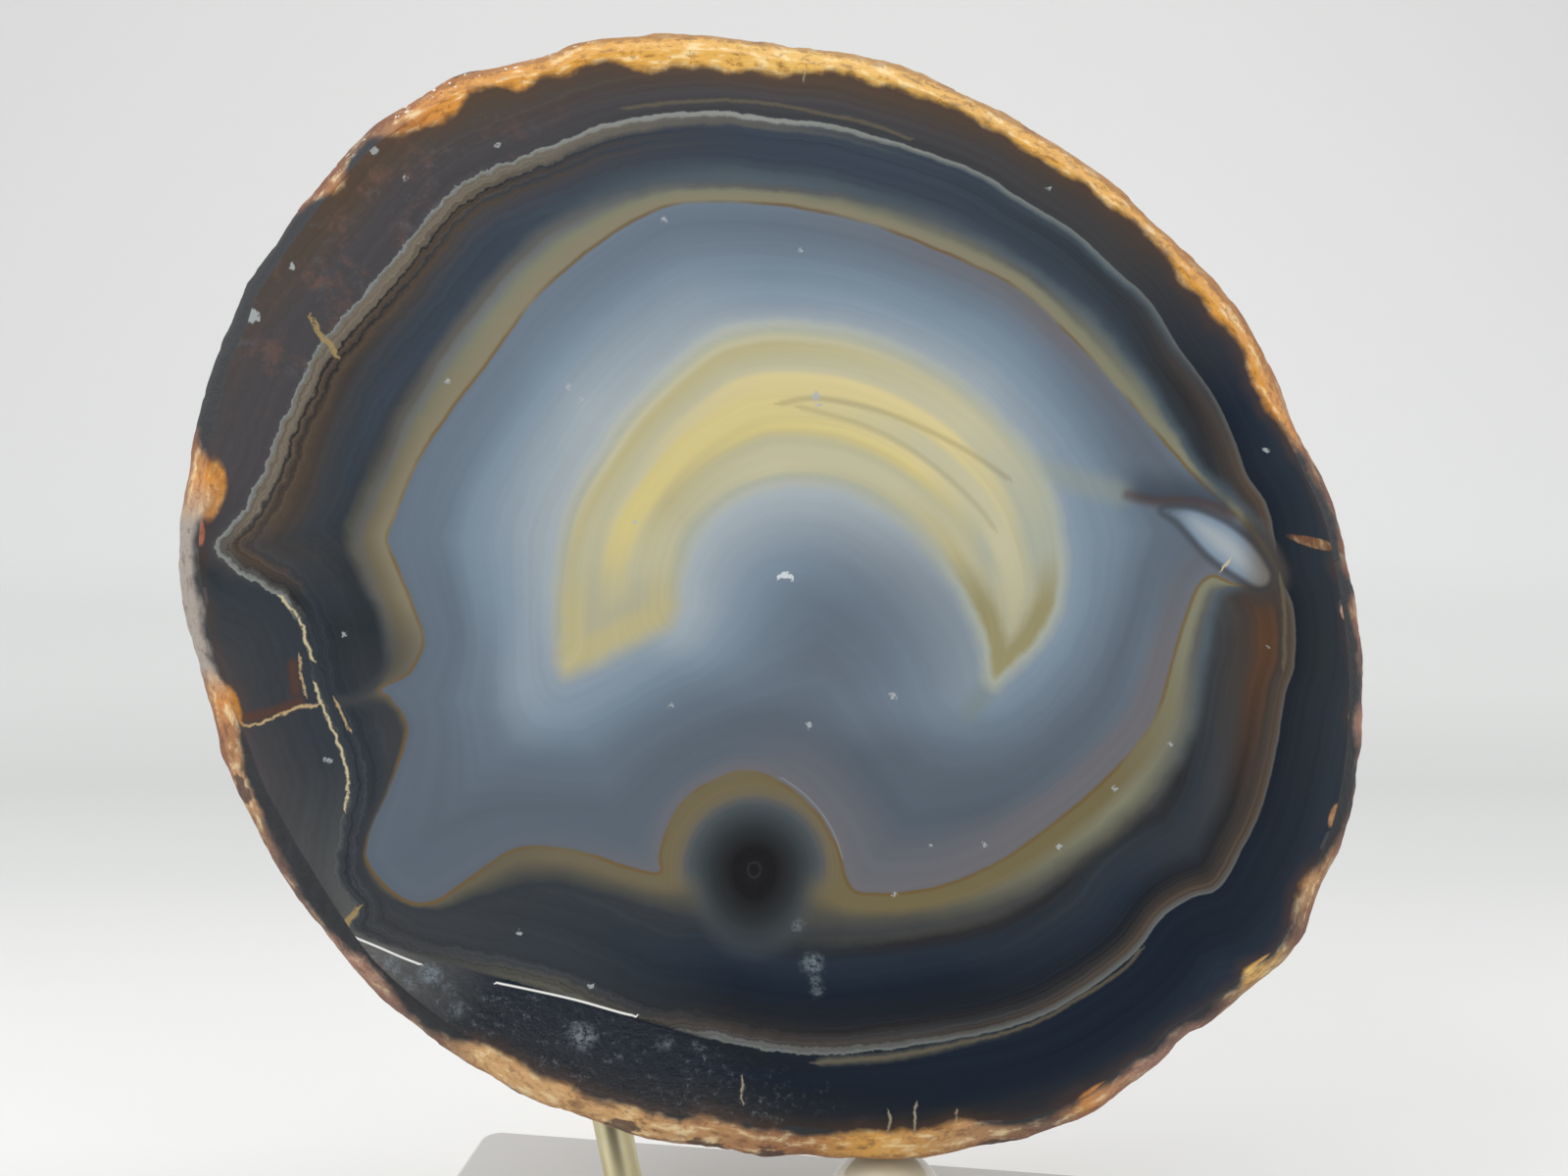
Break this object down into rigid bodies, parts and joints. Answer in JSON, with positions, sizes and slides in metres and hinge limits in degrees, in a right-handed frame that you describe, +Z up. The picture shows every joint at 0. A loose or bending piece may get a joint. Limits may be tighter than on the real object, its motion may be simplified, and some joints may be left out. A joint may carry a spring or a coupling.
{
  "type": "agate geode",
  "caption": "Half of an agate nodule with a polished banded cut face and a domed natural rind, leaning back on a small peg stand.",
  "frame": {"origin": "middle of the object's footprint, on the surface that the stand's base rests on", "axes": "+Z up, the polished cut face looks towards -Y and leans back 8.5 degrees, +X to the viewer's right"},
  "size_m": [0.1246, 0.076, 0.1411],
  "materials": {
    "agate": "polished cut face with blue-grey, ochre and near-black bands, rough brown and orange rind",
    "acrylic": "satin, pale smoke grey",
    "brass": "polished, pale",
    "rubber": "clear, yellowed, glossy"
  },
  "bodies": {
    "root": {"agate_geode": "agate", "stand_base": "acrylic", "peg_left": "brass", "peg_front": "brass", "peg_back": "brass", "tip_left": "rubber", "tip_front": "rubber", "tip_back": "rubber"}
  },
  "joints": []
}
